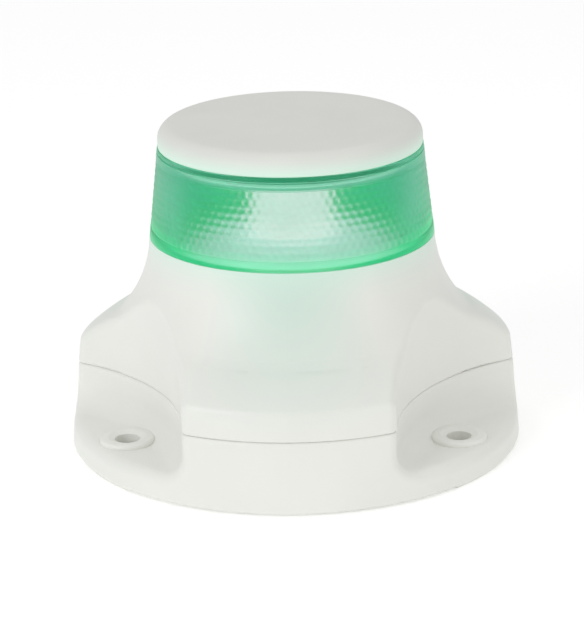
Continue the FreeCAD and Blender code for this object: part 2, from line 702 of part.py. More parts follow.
def make_driver_board():
    """Round circuit board with its screws and the parts soldered to it."""
    disc = cylinder("board_disc", "board_radius", "board_thick", "board_height")
    holes = [
        through_holes("board_holes", LOBE_ANGLES, "board_hole_circle", "board_screw + clearance",
                      "board_height - overrun", "board_thick + 2 * overrun"),
        cylinder("board_passage", "cable_radius + 3 * clearance", "board_thick + 2 * overrun",
                 "board_height - overrun"),
        header_pins("pin_holes", "pin_radius + clearance / 2"),
    ]
    keep(cut("board_part", disc, fuse("board_cuts", holes)), "driver_board")

    def screw(angle, x, y):
        head = cylinder(f"board_screw_head_{angle}", "board_screw_head", "screw_head_thick", BOARD_TOP,
                        x, y)
        shank = cylinder(f"board_screw_shank_{angle}", "board_screw", "board_screw_length",
                         BOARD_TOP + " - board_screw_length", x, y)
        return fuse(f"board_screw_{angle}", [head, shank])
    keep(group("board_screws_group", at_each(LOBE_ANGLES, "board_hole_circle", screw)), "board_screws")


def header_pins(name, radius):
    """The input header's two pins, or the holes for them."""
    pins = [cylinder(f"{name}_{side}", radius, "pin_length", BOARD_TOP + " - board_thick - pin_tail",
                     f"{side} * header_pitch / 2", "-header_offset") for side in (-1, 1)]
    return group(name, pins) if radius == "pin_radius" else fuse(name, pins)


def make_board_parts():
    """Inductor, capacitors, regulator, small parts, tail socket and input header."""
    core = turned("inductor_core_solid", [
        ("0", BOARD_TOP),
        ("coil_radius", BOARD_TOP),
        ("coil_radius", BOARD_TOP + " + coil_flange"),
        ("coil_waist", BOARD_TOP + " + coil_flange"),
        ("coil_waist", BOARD_TOP + " + coil_height - coil_flange"),
        ("coil_radius", BOARD_TOP + " + coil_height - coil_flange"),
        ("coil_radius", BOARD_TOP + " + coil_height"),
        ("0", BOARD_TOP + " + coil_height"),
    ])
    keep(place(core, "-coil_offset_x", "-coil_offset_y"), "inductor_core")
    winding = turned("inductor_winding_solid", [
        ("coil_waist", BOARD_TOP + " + coil_flange"),
        ("coil_radius - coil_flange / 2", BOARD_TOP + " + coil_flange"),
        ("coil_radius - coil_flange / 2", BOARD_TOP + " + coil_height - coil_flange"),
        ("coil_waist", BOARD_TOP + " + coil_height - coil_flange"),
    ])
    keep(place(winding, "-coil_offset_x", "-coil_offset_y"), "inductor_winding")

    cans = [cylinder(f"capacitor_{side}", "can_radius", "can_height", BOARD_TOP, "can_offset",
                     f"{side} * (can_radius + 4 * clearance) - can_shift") for side in (-1, 1)]
    keep(group("capacitors_group", cans), "capacitors")

    legs = []
    for side in (-1, 1):
        for row in range(4):
            along = f"({row} - 1.5) * chip_length / 4"
            legs.append(box(f"chip_leg_{side}_{row}", "leg_width", "leg_length", "leg_thick", BOARD_TOP,
                            along, f"{side} * (chip_width / 2 + leg_length / 2) - chip_offset"))
    chip = box("chip_block", "chip_length", "chip_width", "chip_height", BOARD_TOP, "0", "-chip_offset")
    keep(fuse("regulator_part", [chip] + legs), "regulator_chip")

    small = [box(f"small_part_{column}", "small_length", "small_width", "small_height", BOARD_TOP,
                 f"{column} * small_pitch", "small_offset") for column in (-2, -1, 0, 1, 2)]
    keep(group("small_parts_group", small), "chip_parts")

    middle = "post_flats / 2 + socket_depth / 2 - socket_lip"
    socket = box("socket_block", "socket_width", "socket_depth", "socket_height", BOARD_TOP, "0", middle)
    slot = tail_box("socket_slot", "clearance", BOARD_TOP + " + tail_rise - clearance", "socket_height")
    keep(cut("tail_socket_part", socket, slot), "tail_socket")

    block = box("header_block", "header_width", "header_depth", "header_height", BOARD_TOP, "0",
                "-header_offset")
    holes = header_pins("header_holes", "pin_radius + clearance / 2")
    keep(cut("input_header_part", block, holes), "input_header")
    keep(header_pins("header_pins_group", "pin_radius"), "header_pins")


def make_assembly_screws():
    """Three screws from below that pull the base to the housing."""
    def screw(angle, x, y):
        foot = "screw_sink - screw_head_thick"
        head = cylinder(f"screw_head_{angle}", "screw_head", "screw_head_thick", foot, x, y)
        drive = cylinder(f"screw_drive_{angle}", "drive_radius", "drive_depth", foot, x, y)
        shank = cylinder(f"screw_shank_{angle}", "screw_radius", "screw_length", "screw_sink", x, y)
        return cut(f"screw_{angle}", fuse(f"screw_solid_{angle}", [head, shank]), drive)
    keep(group("assembly_screws_group", at_each(LOBE_ANGLES, "screw_circle", screw)), "assembly_screws")


def make_gland():
    """Cable gland: flanged bush from below, its nut inside, and the rubber sleeve that grips the cable."""
    foot = "gland_recess - gland_flange_thick"
    keep(turned("cable_gland_solid", [
        ("gland_bore", foot),
        ("gland_flange", foot),
        ("gland_flange", "gland_recess"),
        ("gland_thread", "gland_recess"),
        ("gland_thread", "gland_recess + gland_length"),
        ("gland_bore", "gland_recess + gland_length"),
    ]), "cable_gland")
    nut = prism("nut_prism", "nut_flats", "nut_height", "base_floor")
    thread = cylinder("nut_thread", "gland_thread + clearance / 2", "nut_height + 2 * overrun",
                      "base_floor - overrun")
    keep(cut("gland_nut_part", nut, thread), "gland_nut")
    make_ring("gland_seal", "cable_radius", "gland_bore - clearance / 2", foot,
              "(gland_flange_thick + gland_length)")


def make_seals():
    """Square rings for the neck, the cap and the underside."""
    make_ring("lens_seal", SPIGOT_RADIUS + " - ring_groove", NECK_BORE, SPIGOT_FOOT + " + ring_lip",
              "ring_height")
    make_ring("cap_seal", CAP_SPIGOT_RADIUS + " - ring_groove", LENS_TOP_BORE,
              CAP_SPIGOT_FOOT + " + ring_lip", "ring_height")
    make_ring("mounting_gasket", "gasket_inner", "gasket_inner + gasket_width", "0", "gasket_thick")


def check_document():
    """Stop if any object of the document failed or any sub-part is not a sound solid."""
    for thing in document.Objects:
        if "Invalid" in thing.State or "Error" in thing.State:
            raise RuntimeError(f"{thing.Name} failed: {thing.getStatusString()}")
    for piece in kept:
        shape = piece.Shape
        if shape.isNull() or not shape.isValid() or not shape.Solids:
            raise RuntimeError(f"{piece.Label} is not a sound solid")


def write_parts():
    """Write each sub-part to its own file."""
    os.makedirs("parts", exist_ok=True)
    for piece in kept:
        piece.Shape.exportStep(f"parts/{piece.Label}.step")
        print(f"{piece.Label}: {len(piece.Shape.Solids)} solid, {piece.Shape.Volume:.1f} mm3")


make_base()
make_base_seal()
make_housing()
make_lens()
make_cap()
make_seals()
make_reflectors()
make_light_source()
make_driver_board()
make_board_parts()
make_assembly_screws()
make_gland()
document.recompute()
check_document()
write_parts()
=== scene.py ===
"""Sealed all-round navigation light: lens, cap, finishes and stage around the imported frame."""

import json
import math

import bpy
from mathutils import Matrix, Vector


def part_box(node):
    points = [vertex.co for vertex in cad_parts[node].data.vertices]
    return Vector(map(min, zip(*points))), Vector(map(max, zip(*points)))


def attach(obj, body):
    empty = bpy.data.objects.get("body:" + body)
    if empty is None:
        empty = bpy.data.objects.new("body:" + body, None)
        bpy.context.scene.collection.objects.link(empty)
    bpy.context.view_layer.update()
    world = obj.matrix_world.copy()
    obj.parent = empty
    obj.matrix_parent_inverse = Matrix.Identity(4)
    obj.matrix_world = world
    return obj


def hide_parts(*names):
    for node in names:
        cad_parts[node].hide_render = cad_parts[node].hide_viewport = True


bl_info = {
    "name": "Navigation light",
    "version": (1, 0, 0),
    "blender": (4, 5, 0),
    "location": "3D View > Sidebar > Navigation light",
    "description": "Detailed pieces, finishes and a stage for a sealed all-round navigation light",
    "category": "Object",
}

MM = 0.001
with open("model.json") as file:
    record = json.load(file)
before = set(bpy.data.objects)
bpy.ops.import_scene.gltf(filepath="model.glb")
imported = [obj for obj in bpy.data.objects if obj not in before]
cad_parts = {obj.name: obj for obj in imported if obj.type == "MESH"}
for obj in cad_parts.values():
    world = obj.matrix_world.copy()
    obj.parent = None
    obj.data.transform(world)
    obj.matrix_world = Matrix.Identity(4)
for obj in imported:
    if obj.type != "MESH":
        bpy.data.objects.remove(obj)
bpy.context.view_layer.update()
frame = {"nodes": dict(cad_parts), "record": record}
NODES = frame["nodes"]


def low(node):
    """Lowest corner of a CAD node."""
    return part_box(node)[0]


def high(node):
    """Highest corner of a CAD node."""
    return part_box(node)[1]


def reach(node):
    """Radius of a round CAD node about the light's axis."""
    return high(node).y


# ---------------------------------------------------------------- settings

class LensSettings(bpy.types.PropertyGroup):
    """Sizes of the lens and its bead relief."""
    beads: bpy.props.IntProperty(name="Beads", description="Beads in one row round the lens", default=104, min=12)
    rows: bpy.props.IntProperty(name="Rows", description="Rows of beads, one above the other", default=9, min=1)
    relief: bpy.props.FloatProperty(name="Relief", description="Height of a bead", default=0.16 * MM,
                                    unit="LENGTH", subtype="DISTANCE")
    lower_band: bpy.props.FloatProperty(name="Lower band", description="Plain band below the beads",
                                        default=1.8 * MM, unit="LENGTH", subtype="DISTANCE")
    upper_band: bpy.props.FloatProperty(name="Upper band", description="Plain band above the beads",
                                        default=2.3 * MM, unit="LENGTH", subtype="DISTANCE")
    lip: bpy.props.FloatProperty(name="Lip", description="Small step and chamfer at the bands",
                                 default=0.14 * MM, unit="LENGTH", subtype="DISTANCE")


class ColourSettings(bpy.types.PropertyGroup):
    """Colours that a user would change."""
    casing: bpy.props.FloatVectorProperty(name="Casing", description="White moulded plastic", subtype="COLOR",
                                          size=3, default=(0.80, 0.805, 0.765), min=0, max=1)
    cap: bpy.props.FloatVectorProperty(name="Cap", description="Matte plastic of the cap", subtype="COLOR",
                                       size=3, default=(0.72, 0.725, 0.69), min=0, max=1)
    lens: bpy.props.FloatVectorProperty(name="Lens", description="Tint of the lens", subtype="COLOR",
                                        size=3, default=(0.21, 0.70, 0.49), min=0, max=1)
    glow: bpy.props.FloatVectorProperty(name="Glow", description="Light of the inner tube", subtype="COLOR",
                                        size=3, default=(1.0, 0.40, 0.52), min=0, max=1)
    floor: bpy.props.FloatVectorProperty(name="Floor", description="Floor of the stage", subtype="COLOR",
                                         size=3, default=(0.95, 0.95, 0.95), min=0, max=1)


class StageSettings(bpy.types.PropertyGroup):
    """Camera of the stage."""
    azimuth: bpy.props.FloatProperty(name="Azimuth", description="Camera's turn about the light",
                                     default=math.radians(2.11), unit="ROTATION", subtype="ANGLE")
    elevation: bpy.props.FloatProperty(name="Elevation", description="Camera's height as an angle",
                                       default=math.radians(18.67), unit="ROTATION", subtype="ANGLE")
    roll: bpy.props.FloatProperty(name="Roll", description="Camera's tilt", default=math.radians(-1.23),
                                  unit="ROTATION", subtype="ANGLE")
    distance: bpy.props.FloatProperty(name="Distance", description="Camera's distance from its target",
                                      default=470.1 * MM, unit="LENGTH", subtype="DISTANCE")
    focal: bpy.props.FloatProperty(name="Focal length", description="Camera's focal length in millimetres",
                                   default=156.06)


def settings(name):
    """Find a group of settings on the scene."""
    return getattr(bpy.context.scene, name)


# ---------------------------------------------------------------- finishes

class Term:
    """An output of a finish's nodes, used like a number in a sum."""

    def __init__(self, finish, socket):
        self.finish = finish
        self.socket = socket

    def sum(self, operation, first, second, clamp=False):
        return self.finish.node("ShaderNodeMath", {"operation": operation, "use_clamp": clamp},
                                {0: first, 1: second})

    def __add__(self, other):
        return self.sum("ADD", self, other)

    def __radd__(self, other):
        return self.sum("ADD", other, self)

    def __sub__(self, other):
        return self.sum("SUBTRACT", self, other)

    def __rsub__(self, other):
        return self.sum("SUBTRACT", other, self)

    def __mul__(self, other):
        return self.sum("MULTIPLY", self, other)

    def __rmul__(self, other):
        return self.sum("MULTIPLY", other, self)

    def __truediv__(self, other):
        return self.sum("DIVIDE", self, other)

    def __rtruediv__(self, other):
        return self.sum("DIVIDE", other, self)

    def __pow__(self, other):
        return self.sum("POWER", self, other)

    def limited(self):
        """The same value held between 0 and 1."""
        return self.sum("ADD", self, 0.0, clamp=True)


class Finish:
    """A procedural finish built round one Principled shader."""

    def __init__(self, name, **constants):
        self.material = bpy.data.materials.new(name)
        self.material.use_nodes = True
        self.tree = self.material.node_tree
        self.shader = self.tree.nodes["Principled BSDF"]
        for socket, value in constants.items():
            self.set(socket.replace("_", " "), value)

    def put(self, socket, value):
        """Give an input its value or its link."""
        if isinstance(value, Term):
            self.tree.links.new(value.socket, socket)
        else:
            socket.default_value = value

    def set(self, name, value):
        """Give one of the shader's inputs its value or its link."""
        self.put(self.shader.inputs[name], value)

    def node(self, kind, options=None, sockets=None, output=0):
        """Add a node: its options first, then the values or links of its sockets."""
        node = self.tree.nodes.new(kind)
        for name, value in (options or {}).items():
            if name == "stops":
                while len(node.color_ramp.elements) < len(value):
                    node.color_ramp.elements.new(1.0)
                for element, (place, colour) in zip(node.color_ramp.elements, value):
                    element.position = place
                    element.color = colour
            else:
                setattr(node, name, value)
        for name, value in (sockets or {}).items():
            self.put(node.inputs[name], value)
        return Term(self, node.outputs[output])

    def place(self):
        """Object coordinates of the surface."""
        return self.node("ShaderNodeTexCoord", output="Object")

    def axes(self):
        """The three Object coordinates, each on its own."""
        split = self.tree.nodes.new("ShaderNodeSeparateXYZ")
        self.put(split.inputs[0], self.place())
        return [Term(self, output) for output in split.outputs]

    def noise(self, size, detail=3.0, roughness=0.5, stretch=(1.0, 1.0, 1.0)):
        """Noise whose grain has a real size in metres, with its middle near a half."""
        scale = self.node("ShaderNodeMapping", {"vector_type": "POINT"}, {"Vector": self.place(), "Scale": stretch})
        return self.node("ShaderNodeTexNoise", {}, {"Vector": scale, "Scale": 1.0 / size, "Detail": detail,
                                                    "Roughness": roughness})

    def spread(self, value, start, end):
        """A value stretched so that start becomes 0 and end becomes 1."""
        return ((value - start) / (end - start)).limited()

    def blend(self, factor, first, second):
        """Mix two colours by a factor."""
        return self.node("ShaderNodeMix", {"data_type": "RGBA"},
                         {0: factor, 6: as_colour(first), 7: as_colour(second)}, output=2)

    def bump(self, height, strength, distance):
        """Add relief to the surface's normal."""
        self.set("Normal", self.node("ShaderNodeBump", {}, {"Height": height, "Strength": strength,
                                                            "Distance": distance}))


def as_colour(value):
    """A colour with its alpha, or the term as it is."""
    return value if isinstance(value, Term) or len(value) == 4 else (*value, 1.0)


def shade(colour, factor):
    """A colour made darker or lighter."""
    return tuple(min(1.0, part * factor) for part in colour)


def moulded(name, colour, roughness, grain, depth, **constants):
    """Moulded plastic: a faint cloud in its colour, a fine grain and uneven gloss."""
    finish = Finish(name, **constants)
    cloud = finish.noise(14 * MM, 2.0)
    fleck = finish.noise(grain, 4.0, 0.6)
    base = finish.blend(finish.spread(cloud, 0.35, 0.65), shade(colour, 0.975), shade(colour, 1.015))
    finish.set("Base Color", base)
    finish.set("Roughness", roughness + (fleck - 0.5) * 0.12)
    finish.bump(fleck, 0.35, depth)
    return finish


def casing_finish():
    """White moulded plastic with a painted green glow for a little of the lens's green light coming through, most in
    the middle of each lobe, and more painted green at the neck.
    """
    colours = settings("light_colours")
    finish = Finish("casing_plastic", Specular_IOR_Level=0.45, Subsurface_Weight=0.12,
                    Subsurface_Radius=(0.9, 1.0, 0.9), Subsurface_Scale=1.2 * MM)
    x, y, height = finish.axes()
    radius = (x * x + y * y) ** 0.5
    lobe = finish.spread((3.0 * x * x * y - y * y * y) / (radius * radius * radius), -0.1, 1.0)
    cloud = finish.noise(18 * MM, 2.0)
    fleck = finish.noise(0.35 * MM, 4.0, 0.6)
    white = finish.blend(finish.spread(cloud, 0.35, 0.65), shade(colours.casing, 0.985), shade(colours.casing, 1.01))
    neck = high("housing").z
    # Painted green glow: base colour turns green towards the neck in the middle of each lobe, standing for the lens's
    # light.
    painted_lobe_glow_mask = finish.spread(height, neck - 23 * MM, neck - 6 * MM) * lobe
    with_painted_lobe_glow = finish.blend(painted_lobe_glow_mask, white, (0.63, 0.755, 0.68))
    # Painted green glow in the base colour at the neck, next to the lens.
    rim = finish.spread(height, neck - 7 * MM, neck) ** 2.0
    finish.set("Base Color", finish.blend(rim * 0.5, with_painted_lobe_glow, (0.60, 0.86, 0.73)))
    finish.set("Roughness", 0.42 + (fleck - 0.5) * 0.10)
    finish.bump(fleck, 0.25, 0.012 * MM)
    return finish.material


def cap_finish():
    """Matte plastic with a painted green glow at the rim next to the lens, and a painted glow (emission) on the ring
    below the lens's top.
    """
    colours = settings("light_colours")
    finish = Finish("cap_plastic", Specular_IOR_Level=0.4, Subsurface_Weight=0.1,
                    Subsurface_Radius=(0.9, 1.0, 0.9), Subsurface_Scale=1.0 * MM)
    height = finish.axes()[2]
    cloud = finish.noise(12 * MM, 2.0)
    fleck = finish.noise(0.25 * MM, 4.0, 0.6)
    grey = finish.blend(finish.spread(cloud, 0.35, 0.65), shade(colours.cap, 0.985), shade(colours.cap, 1.01))
    rim = high("lens").z
    # Painted green glow from the lens: green colour and a faint emission grow towards the rim.
    painted_lens_glow_mask = finish.spread(height, rim + 3.4 * MM, rim) ** 1.6
    with_painted_rim_glow = finish.blend(painted_lens_glow_mask * 0.55, grey, (0.58, 0.90, 0.74))
    finish.set("Base Color", with_painted_rim_glow)
    # Painted glow: faces below the lens's top, behind the lens, give off light though the cap is no lamp.
    inside = finish.spread(height, rim - 0.2 * MM, rim - 0.5 * MM)
    painted_outer_glow = finish.blend(painted_lens_glow_mask, (0.0, 0.0, 0.0), (0.03, 0.08, 0.05))
    finish.set("Emission Color", finish.blend(inside, painted_outer_glow, (1.0, 0.45, 0.60)))
    finish.set("Emission Strength", 1.0)
    finish.set("Roughness", 0.55 + (fleck - 0.5) * 0.12)
    finish.bump(fleck, 0.4, 0.02 * MM)
    return finish.material


def lens_finish():
    """Green clear plastic, rough enough to blur what stands behind it, with a faint painted glow all over and a
    stronger painted green glow at its foot.
    """
    colours = settings("light_colours")
    finish = Finish("lens_polycarbonate", Transmission_Weight=0.95, IOR=1.32, Roughness=0.30,
                    Specular_IOR_Level=0.5, Specular_Tint=(0.35, 1.0, 0.66, 1.0))
    cloud = finish.noise(6 * MM, 2.0)
    tint = finish.blend(finish.spread(cloud, 0.3, 0.7), shade(colours.lens, 0.97), shade(colours.lens, 1.03))
    finish.set("Base Color", tint)
    # Painted glow: emission brightest at the foot next to the casing, faint everywhere else.
    foot = high("housing").z
    edge = finish.spread(finish.axes()[2], foot + 2.2 * MM, foot + 0.4 * MM)
    finish.set("Emission Color", finish.blend(edge, (0.0, 0.01, 0.005), (0.0, 0.16, 0.06)))
    finish.set("Emission Strength", 1.0)
    return finish.material


def reflector_finish():
    """White plastic with a painted glow for the tube's light, brightest next to the tube in its middle."""
    finish = Finish("reflector_plastic", Roughness=0.5)
    x, y, _ = finish.axes()
    radius = (x * x + y * y) ** 0.5
    cloud = finish.noise(3 * MM, 2.0)
    finish.set("Base Color", finish.blend(cloud, (0.80, 0.82, 0.80), (0.86, 0.87, 0.85)))
    # Painted glow standing for the tube's light: emission strongest next to the tube, dimmer outwards.
    outward = finish.spread(radius, reach("inner_diffuser"), reach("lower_reflector"))
    finish.set("Emission Color", finish.blend(outward, (1.0, 0.30, 0.50), (0.24, 0.17, 0.19)))
    finish.set("Emission Strength", 1.4)
    return finish.material


def glowing(name, colour, strength, dim):
    """A lit surface with a soft cloud in its brightness."""
    finish = Finish(name, Roughness=0.5)
    cloud = finish.noise(2 * MM, 2.0)
    lit = finish.blend(finish.spread(cloud, 0.3, 0.7), shade(colour, dim), colour)
    finish.set("Base Color", lit)
    finish.set("Emission Color", lit)
    finish.set("Emission Strength", strength)
    return finish.material


def metal(name, colour, roughness, grain, stretch=(1.0, 1.0, 1.0)):
    """Metal with fine drawn marks."""
    finish = Finish(name, Metallic=1.0)
    marks = finish.noise(grain, 4.0, 0.6, stretch)
    finish.set("Base Color", finish.blend(marks, shade(colour, 0.86), shade(colour, 1.08)))
    finish.set("Roughness", roughness + (marks - 0.5) * 0.2)
    finish.bump(marks, 0.3, 0.01 * MM)
    return finish.material


def plain(name, colour, roughness, grain=0.4 * MM, depth=0.01 * MM, **constants):
    """Plastic, rubber or lacquer with a fine grain."""
    return moulded(name, colour, roughness, grain, depth, **constants).material


FINISHES = {}


def finish_all():
    """Make each finish once and give every CAD node its own."""
    colours = settings("light_colours")
    made = {
        "casing_white": casing_finish(),
        "cap_white": cap_finish(),
        "lens_green": lens_finish(),
        "reflector_white": reflector_finish(),
        "diffuser_frosted": glowing("frosted_tube", tuple(colours.glow), 2.2, 0.92),
        "light_package": glowing("light_package", tuple(colours.glow), 6.0, 0.9),
        "seal_rubber": plain("seal_rubber", (0.03, 0.03, 0.032), 0.75, 0.3 * MM, 0.03 * MM),
        "board_green": plain("solder_mask", (0.03, 0.20, 0.09), 0.35, 0.8 * MM, 0.02 * MM),
        "strip_white": plain("strip_mask", (0.78, 0.78, 0.74), 0.45),
        "post_aluminium": metal("post_aluminium", (0.74, 0.75, 0.76), 0.35, 0.3 * MM, (1.0, 1.0, 0.1)),
        "screw_steel": metal("screw_steel", (0.60, 0.60, 0.61), 0.3, 0.25 * MM),
        "ferrite": plain("ferrite", (0.055, 0.055, 0.06), 0.7),
        "winding_copper": metal("copper_winding", (0.72, 0.34, 0.15), 0.3, 0.2 * MM, (0.1, 0.1, 1.0)),
        "part_black": plain("black_epoxy", (0.03, 0.03, 0.032), 0.5),
        "part_tan": plain("tan_ceramic", (0.50, 0.37, 0.22), 0.5),
        "can_aluminium": metal("can_aluminium", (0.70, 0.71, 0.73), 0.25, 0.3 * MM),
        "socket_cream": plain("socket_nylon", (0.72, 0.69, 0.58), 0.5),
        "header_green": plain("header_plastic", (0.05, 0.33, 0.15), 0.45),
        "pin_tinned": metal("tinned_pin", (0.75, 0.73, 0.66), 0.3, 0.2 * MM),
        "gland_nylon": plain("gland_nylon", (0.035, 0.035, 0.038), 0.45, 0.3 * MM, 0.02 * MM),
    }
    FINISHES.update(made)
    FINISHES["seal_silicone"] = plain("seal_silicone", (0.74, 0.78, 0.75), 0.5, 0.3 * MM)
    for part in frame["record"]["subparts"]:
        coat(NODES[part["node"]], part["material_slot"])
    for seal in ("lens_seal", "cap_seal"):
        coat(NODES[seal], "seal_silicone")


def coat(piece, slot):
    """Give a piece one of the finishes."""
    piece.data.materials.clear()
    piece.data.materials.append(FINISHES[slot])


# ---------------------------------------------------------------- modelling helpers

def fresh(name):
    """Name the primitive that was just added and open it with nothing selected."""
    piece = bpy.context.object
    piece.name = name
    piece.data.name = name
    bpy.ops.object.mode_set(mode="EDIT")
    bpy.ops.mesh.select_all(action="DESELECT")
    return piece


def begin():
    """Leave edit mode with nothing selected."""
    if bpy.context.object and bpy.context.object.mode != "OBJECT":
        bpy.ops.object.mode_set(mode="OBJECT")
    bpy.ops.object.select_all(action="DESELECT")


def choose(piece, wanted, kind="verts"):
    """Select the vertices, edges or faces that pass a test."""
    bpy.ops.object.mode_set(mode="OBJECT")
    bpy.context.tool_settings.mesh_select_mode = (kind == "verts", kind == "edges", kind == "faces")
    mesh = piece.data
    mesh.polygons.foreach_set("select", [False] * len(mesh.polygons))
    mesh.edges.foreach_set("select", [False] * len(mesh.edges))
    mesh.vertices.foreach_set("select", [False] * len(mesh.vertices))
    things = {"verts": mesh.vertices, "edges": mesh.edges, "faces": mesh.polygons}[kind]
    things.foreach_set("select", [bool(wanted(thing)) for thing in things])
    bpy.ops.object.mode_set(mode="EDIT")


def spread_about_axis(factor, centre=(0.0, 0.0, 0.0)):
    """Widen or narrow what is selected about an upright axis."""
    bpy.ops.transform.resize(value=(factor, factor, 1.0), center_override=centre)


def walk(outline, start, centre=(0.0, 0.0)):
    """Draw the selected ring out along an outline of radius and height, one ring to a step."""
    radius, height = start
    for new_radius, new_height in outline:
        bpy.ops.mesh.extrude_edges_move()
        spread_about_axis(new_radius / radius, (centre[0], centre[1], height))
        bpy.ops.transform.translate(value=(0.0, 0.0, new_height - height))
        radius, height = new_radius, new_height


def quarter(centre, radius, start, end, steps):
    """Points of an arc, as radius and height, between two angles in degrees."""
    points = []
    for step in range(steps + 1):
        angle = math.radians(start + (end - start) * step / steps)
        points.append((centre[0] + radius * math.cos(angle), centre[1] + radius * math.sin(angle)))
    return points


def close_up(piece, angle=30.0):
    """Merge doubles, turn faces outwards, shade smooth up to an angle and leave edit mode."""
    bpy.ops.mesh.select_all(action="SELECT")
    bpy.ops.mesh.remove_doubles(threshold=0.002 * MM)
    bpy.ops.mesh.normals_make_consistent(inside=False)
    bpy.ops.object.mode_set(mode="OBJECT")
    bpy.ops.object.select_all(action="DESELECT")
    piece.select_set(True)
    bpy.context.view_layer.objects.active = piece
    bpy.ops.object.transform_apply(location=True, rotation=True, scale=True)
    bpy.ops.object.shade_smooth_by_angle(angle=math.radians(angle))
    piece.select_set(False)


def stand_for(piece, node):
    """Finish a piece that stands for a CAD node."""
    slot = next(part["material_slot"] for part in frame["record"]["subparts"] if part["node"] == node)
    coat(piece, slot)
    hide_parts(node)
    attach(piece, "root")


# ---------------------------------------------------------------- pieces

def lens_radius(height):
    """Outer radius of the lens's plain cone at a height."""
    foot = high("housing").z
    top = high("lens").z
    share = (height - foot) / (top - foot)
    return reach("lens") + (LENS_TOP_RADIUS - reach("lens")) * share


SLIP = 0.1 * MM
LENS_TOP_RADIUS = reach("cap_seal") + 3.0 * MM
SPIGOT_OUTER = reach("lens_seal") - SLIP
SPIGOT_INNER = SPIGOT_OUTER - 1.4 * MM


def make_lens():
    """Model the lens: a cone of staggered beads between two plain bands, its wall and the ring in the neck."""
    size = settings("light_lens")
    foot = high("housing").z
    top = high("lens").z
    bead_foot = foot + size.lower_band
    bead_top = top - size.upper_band
    columns = size.beads * 4
    steps = size.rows * 4
    inset = size.relief
    begin()
    bpy.ops.mesh.primitive_cone_add(vertices=columns, radius1=lens_radius(bead_foot) - inset,
                                    radius2=lens_radius(bead_top) - inset, depth=bead_top - bead_foot,
                                    end_fill_type="NOTHING", location=(0.0, 0.0, (bead_foot + bead_top) / 2))
    lens = fresh("lens_band")
    bpy.ops.object.mode_set(mode="OBJECT")
    bpy.ops.object.transform_apply(location=True, rotation=True, scale=True)
    mesh = lens.data
    choose(lens, lambda edge: abs(mesh.vertices[edge.vertices[0]].co.z - mesh.vertices[edge.vertices[1]].co.z) > 1e-4,
           "edges")
    bpy.ops.mesh.subdivide(number_cuts=steps - 1)

    def level(vertex):
        around = math.atan2(vertex.co.y, vertex.co.x) / (2 * math.pi) * columns
        up = (vertex.co.z - bead_foot) / (bead_top - bead_foot) * steps
        column = round(around)
        row = round(up)
        shift = 2 if (row // 4) % 2 else 0
        across = (0, 2, 3, 2)[(column + shift) % 4]
        along = (0, 2, 3, 2)[row % 4]
        return across * along
    for share in (4, 6, 9):
        choose(lens, lambda vertex: level(vertex) == share)
        middle = lens_radius((bead_foot + bead_top) / 2)
        spread_about_axis(1.0 + inset * share / 9 / middle)

    near = 1e-6
    choose(lens, lambda vertex: abs(vertex.co.z - bead_top) < near)
    lip = size.lip
    upper = bead_top + lip
    walk([
        (lens_radius(upper), upper),
        (lens_radius(top - 6.2 * lip), top - 6.2 * lip),
        (lens_radius(top) - 0.9 * lip, top - 5.4 * lip),
        (lens_radius(top) - 0.9 * lip, top - 4.6 * lip),
        (lens_radius(top - 3.2 * lip), top - 3.8 * lip),
        (lens_radius(top), top - lip),
        (lens_radius(top) - lip, top),
        (reach("cap_seal"), top),
    ], (lens_radius(bead_top) - inset, bead_top))
    choose(lens, lambda vertex: abs(vertex.co.z - bead_foot) < near)
    lower = bead_foot - lip
    walk([
        (lens_radius(lower), lower),
        (lens_radius(foot + 2 * lip), foot + 2 * lip),
        (lens_radius(foot) - 0.3 * lip, foot + 0.6 * lip),
        (lens_radius(foot) - 1.4 * lip, foot),
        (SPIGOT_OUTER, foot),
        (SPIGOT_OUTER, foot - 1.6 * MM),
        (SPIGOT_OUTER - 0.6 * MM, foot - 1.6 * MM),
        (SPIGOT_OUTER - 0.6 * MM, foot - 2.7 * MM),
        (SPIGOT_OUTER, foot - 2.7 * MM),
        (SPIGOT_OUTER, low("lens").z),
        (SPIGOT_INNER, low("lens").z),
        (reach("cap_seal"), top),
    ], (lens_radius(bead_foot) - inset, bead_foot))
    close_up(lens, 50.0)
    stand_for(lens, "lens")
    return lens


def make_cap():
    """Model the cap: a faintly domed top, a full round rim and the ring that enters the lens."""
    begin()
    top = high("top_cap").z
    rim = high("lens").z
    radius = reach("top_cap")
    bend = 2.5 * MM
    sag = 0.12 * MM
    start = (2.0 * MM, top)
    bpy.ops.mesh.primitive_circle_add(vertices=160, radius=start[0], fill_type="TRIFAN", location=(0.0, 0.0, top))
    cap = fresh("cap_lid")
    choose(cap, lambda vertex: vertex.co.length > start[0] / 2)
    inner = reach("cap_seal") - SLIP
    outline = [(radius * share, top - sag * share ** 4) for share in (0.2, 0.35, 0.5, 0.62, 0.72, 0.8, 0.86)]
    outline += quarter((radius - bend, top - sag - bend), bend, 90.0, 4.0, 14)
    outline += [
        (radius, rim + 0.35 * MM),
        (radius - 0.06 * MM, rim + 0.12 * MM),
        (radius - 0.25 * MM, rim + 0.02 * MM),
        (inner, rim + 0.02 * MM),
        (inner, low("top_cap").z + 0.2 * MM),
        (inner - 0.2 * MM, low("top_cap").z),
        (inner - 1.4 * MM, low("top_cap").z),
        (inner - 1.4 * MM, top - 2.2 * MM),
        (1.0 * MM, top - 2.2 * MM),
    ]
    walk(outline, start)
    bpy.ops.mesh.edge_face_add()
    close_up(cap, 40.0)
    stand_for(cap, "top_cap")
    return cap


# ---------------------------------------------------------------- stage

